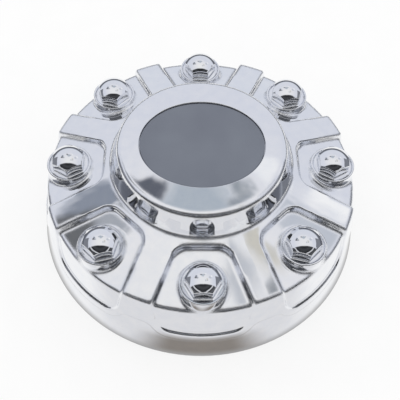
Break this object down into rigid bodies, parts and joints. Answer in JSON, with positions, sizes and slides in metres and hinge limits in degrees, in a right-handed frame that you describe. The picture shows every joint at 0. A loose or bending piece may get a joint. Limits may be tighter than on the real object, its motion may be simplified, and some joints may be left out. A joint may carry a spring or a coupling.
{
  "type": "hubcap",
  "caption": "Chrome-plated moulded hubcap with a domed centre, a spoked deck with pocketed wheel-nut covers, and a skirt that seats on the wheel.",
  "frame": {"origin": "centre of the rim's foot, on the face that seats on the wheel", "axes": "+Z along the wheel's axis, out of the wheel; -Y towards one nut cover"},
  "size_m": [0.21, 0.21, 0.0749],
  "materials": {
    "bright_plating": "mirror-bright plating on moulded plastic",
    "satin_grey": "satin paint"
  },
  "bodies": {
    "root": {"cap_shell": "bright_plating", "badge_plate": "satin_grey"}
  },
  "joints": []
}
